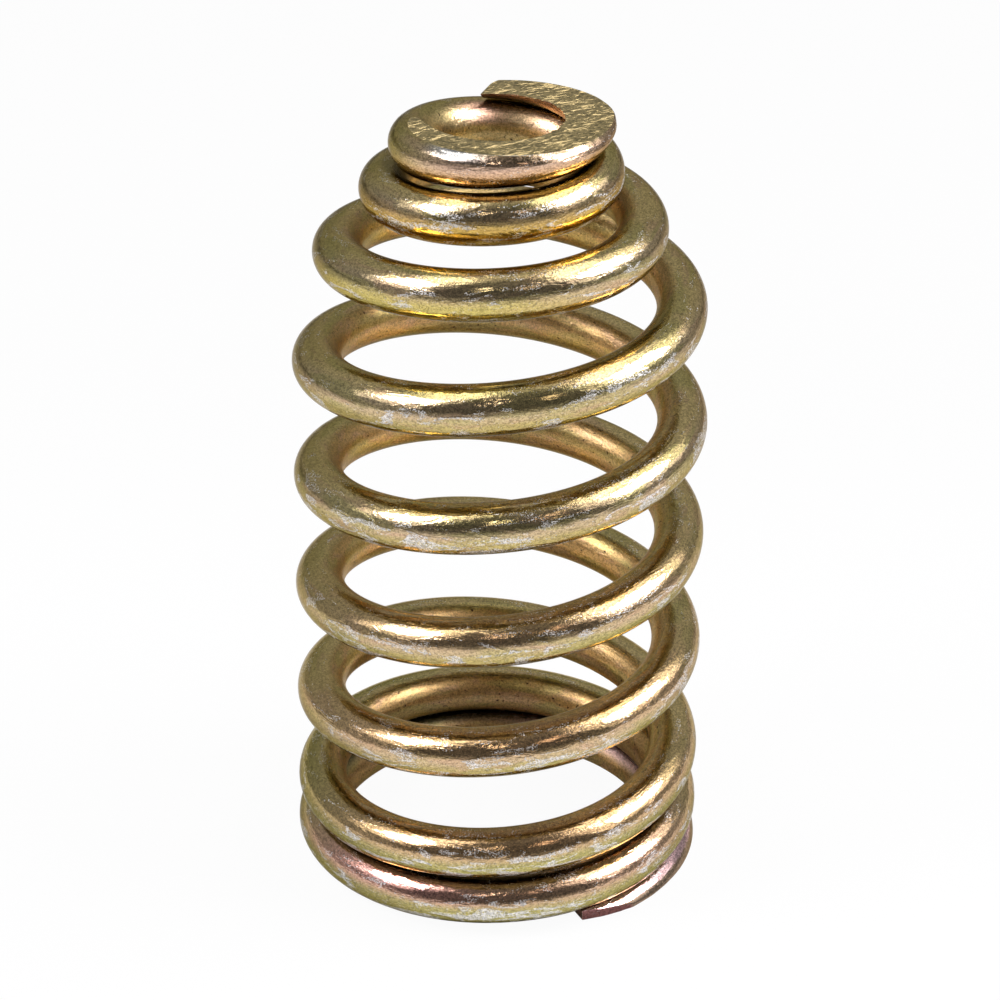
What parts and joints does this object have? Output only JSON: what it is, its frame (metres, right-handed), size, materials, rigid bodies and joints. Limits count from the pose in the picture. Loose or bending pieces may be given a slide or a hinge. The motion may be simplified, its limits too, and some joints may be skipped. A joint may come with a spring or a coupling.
{
  "type": "compression spring",
  "caption": "Round-wire compression spring with a wide cylindrical body that closes in to a narrow top coil; both ends are wound close and ground flat.",
  "frame": {"origin": "on the coil axis, in the plane of the lower ground face", "axes": "+Z along the coil axis, from the wide end up to the narrow one; the bottom tip of the wire lies 63 degrees clockwise from +X, seen from above"},
  "size_m": [0.0338, 0.0338, 0.0644],
  "materials": {
    "plated_wire": "zinc plating with a yellow chromate, half bright, scuffed along the outside of each coil"
  },
  "bodies": {
    "root": {"spring": "plated_wire"}
  },
  "joints": []
}
